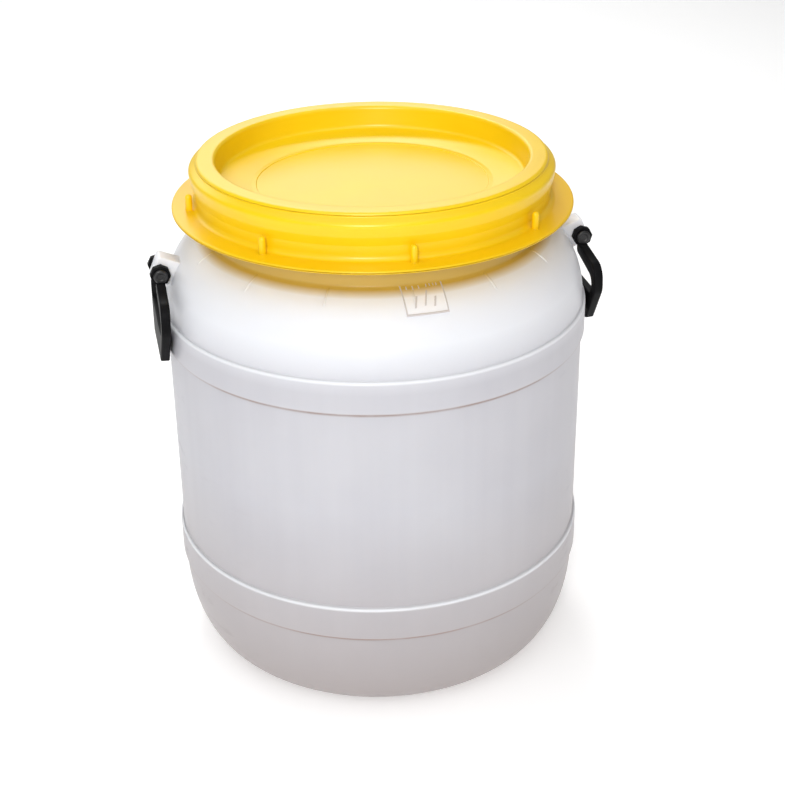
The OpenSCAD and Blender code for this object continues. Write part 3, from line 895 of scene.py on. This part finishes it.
def black_polypropylene():
    material, shader, place = new_material("black_polypropylene", IOR=1.49, Specular_IOR_Level=0.07)
    cloud = place.noise(30.0, 3.0)
    base = cloud.clamp(0.35, 0.7).mix((0.003, 0.003, 0.0035, 1.0), (0.006, 0.006, 0.007, 1.0))
    grain = place.noise(1500.0, 2.0)
    bump = place.out("ShaderNodeBump", 0, {}, Strength=0.35, Distance=0.0003,
                     Height=grain * 0.4 + cloud * 0.6)
    feed(material, shader, Base_Color=base, Roughness=0.40 + cloud * 0.15, Normal=bump)
    return material


black = black_polypropylene()
eye_corners = [Vector((eye_flat / math.cos(math.pi / 8) * math.cos(math.pi / 8 + k * math.pi / 4),
                       eye_flat / math.cos(math.pi / 8) * math.sin(math.pi / 8 + k * math.pi / 4)))
               for k in range(8)]
for side, name in ((-1, "left"), (1, "right")):
    hang = Matrix.Translation((side * pivot_x, 0, pivot_z))
    hang = hang @ Matrix.Rotation(0 if side > 0 else math.pi, 4, "Z") @ Matrix.Rotation(-handle_lean, 4, "Y")
    loop = soft_block("handle_loop_" + name, handle_outline(), handle_t, black, 1.6 * MM)
    put(loop, hang @ Matrix.Rotation(math.pi / 2, 4, "Z"))
    eyes = []
    for k, where in ((0, -1), (1, 1)):
        eye = soft_block(f"handle_eye_{name}_{k}", eye_corners, eye_w, black, 0.9 * MM, 2)
        shift = Matrix.Translation((0, where * (eye_in + eye_w / 2), 0))
        put(eye, hang @ shift @ Matrix.Rotation(-lug_lean - handle_lean, 4, "Y"))
        eyes.append(cut(eye, [rod("bore", bore_r, 60 * MM, (side * pivot_x, 0, pivot_z))]))
    band_tool = rod("band_tool", wall_r + band_out + grip_gap, upper_band_top + 1 * MM,
                    (0, 0, (upper_band_top + 1 * MM) / 2), "Z", 256)
    loop = cut(loop, [rod("bore", bore_r, 60 * MM, (side * pivot_x, 0, pivot_z)), band_tool])
    for piece in [loop, *eyes]:
        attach(piece, name + "_handle")
    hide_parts("handle_" + name)

# ---------------------------------------------------------------------------
# Hinge pins: black nylon, pressed through each lug. The head has a rounded rim,
# and a cap of the same shape is pressed on the far end.
# ---------------------------------------------------------------------------
head_t = 2.4 * MM
shaft_r = 4 * MM
reach = eye_out + 0.35 * MM


def black_nylon():
    material, shader, place = new_material("black_nylon", IOR=1.53)
    cloud = place.noise(160.0, 2.0)
    base = cloud.clamp(0.35, 0.7).mix((0.006, 0.006, 0.007, 1.0), (0.012, 0.012, 0.013, 1.0))
    bump = place.out("ShaderNodeBump", 0, {}, Strength=0.2, Distance=0.0002, Height=cloud)
    feed(material, shader, Base_Color=base, Roughness=0.30 + cloud * 0.12, Normal=bump)
    return material


nylon = black_nylon()
head_corners = [(shaft_r, 0, 0), (head_r, 0, 0.4 * MM), (head_r, head_t, 1.3 * MM),
                (head_r * 0.55, head_t, 0.5 * MM), (head_r * 0.45, head_t - 0.5 * MM, 0.4 * MM),
                (0, head_t - 0.5 * MM, 0)]
for side, name in ((-1, "left"), (1, "right")):
    place = Matrix.Translation((side * pivot_x, 0, pivot_z))
    shaft = [(0, -2 * reach, 0), (shaft_r, -2 * reach, 0.5 * MM), (shaft_r, 0, 0)]
    pin = spun_piece("hinge_pin_" + name, rounded(shaft + head_corners[1:], 4, 0.4 * MM), nylon, steps=48)
    put(pin, place @ Matrix.Rotation(math.pi / 2, 4, "X") @ Matrix.Translation((0, 0, reach)))
    cap_foot = [(0, 0.2 * MM, 0), (shaft_r, 0, 0)]
    cap = spun_piece("hinge_cap_" + name, rounded(cap_foot + head_corners[1:], 4, 0.4 * MM), nylon, steps=48)
    put(cap, place @ Matrix.Rotation(-math.pi / 2, 4, "X") @ Matrix.Translation((0, 0, reach)))
    for piece, node in ((pin, "pivot_pin_"), (cap, "pin_cap_")):
        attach(piece, "drum")
        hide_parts(node + name)

# ---------------------------------------------------------------------------
# Floor and light: a plain pale floor that fills the camera's view, an even sky, a
# large soft box overhead, a key in front, two behind and a weak warm one at the right.
# ---------------------------------------------------------------------------
floor_mesh = bpy.data.meshes.new("floor")
floor_half = 12.0
floor_mesh.from_pydata([(-floor_half, -floor_half, 0), (floor_half, -floor_half, 0),
                        (floor_half, floor_half, 0), (-floor_half, floor_half, 0)], [], [(0, 1, 2, 3)])
floor = bpy.data.objects.new("floor", floor_mesh)
bpy.context.scene.collection.objects.link(floor)
floor_material, floor_shader, floor_place = new_material("floor_paper", Roughness=0.9, Emission_Strength=0.20)
floor_tone = floor_place.noise(3.0, 2.0).mix((0.96, 0.96, 0.96, 1.0), (0.98, 0.98, 0.98, 1.0))
feed(floor_material, floor_shader, Base_Color=floor_tone, Emission_Color=floor_tone)
floor_mesh.materials.append(floor_material)

world = bpy.data.worlds.new("studio")
bpy.context.scene.world = world
world.use_nodes = True
sky = world.node_tree.nodes["Background"]
sky.inputs["Color"].default_value = (1.0, 1.0, 1.0, 1.0)
sky.inputs["Strength"].default_value = 0.29


def soft_box(name, place, aim, size, power, colour):
    data = bpy.data.lights.new(name, "AREA")
    data.shape = "RECTANGLE"
    data.size, data.size_y = size
    data.energy = power
    data.color = colour
    lamp = bpy.data.objects.new(name, data)
    bpy.context.scene.collection.objects.link(lamp)
    lamp.location = place
    lamp.rotation_euler = (Vector(aim) - Vector(place)).to_track_quat("-Z", "Y").to_euler()
    return lamp


soft_box("top_light", (-0.4, -0.9, 2.6), (0, -0.2, 0), (3.4, 3.4), 38.0, (1.0, 1.0, 1.0))
soft_box("key_light", (-0.9, -2.9, 1.75), (0, 0, 0.35), (0.7, 0.7), 54.0, (1.0, 0.99, 0.98))
soft_box("back_light", (-0.6, 3.2, 2.0), (0, 0.6, 0.2), (4.0, 1.5), 38.0, (1.0, 1.0, 1.0))
soft_box("rim_light", (0.1, 1.9, 2.3), (0, 0, 0.46), (0.8, 0.3), 16.0, (1.0, 1.0, 1.0))
soft_box("warm_fill", (2.4, -0.5, 0.7), (0, 0, 0.2), (0.8, 0.8), 1.5, (1.0, 0.62, 0.45))
bpy.context.scene.view_settings.view_transform = "Standard"
